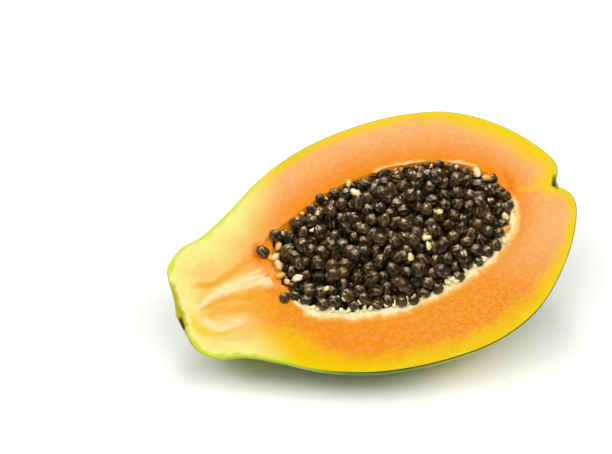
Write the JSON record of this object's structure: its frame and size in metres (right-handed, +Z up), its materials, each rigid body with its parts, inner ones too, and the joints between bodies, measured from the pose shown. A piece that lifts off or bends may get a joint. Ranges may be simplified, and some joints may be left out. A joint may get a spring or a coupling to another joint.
{
  "type": "papaya half",
  "caption": "Half of a ripe papaya cut lengthwise, lying on its skin with the cut face up, its hollow filled with a heap of dark seeds; rests on a small flat spot of the skin.",
  "frame": {"origin": "middle of the flat spot of the skin that the half rests on, at table height", "axes": "+X from the stem end to the blossom end, +Z up, +Y to the back, away from the side that the cut face leans to"},
  "size_m": [0.1651, 0.0983, 0.071],
  "materials": {
    "fruit": "moist orange flesh inside a thin yellow-green skin",
    "seed": "wet, wrinkled, nearly black seed coats"
  },
  "bodies": {
    "root": {"half_fruit": "fruit", "seeds": "seed"}
  },
  "joints": []
}
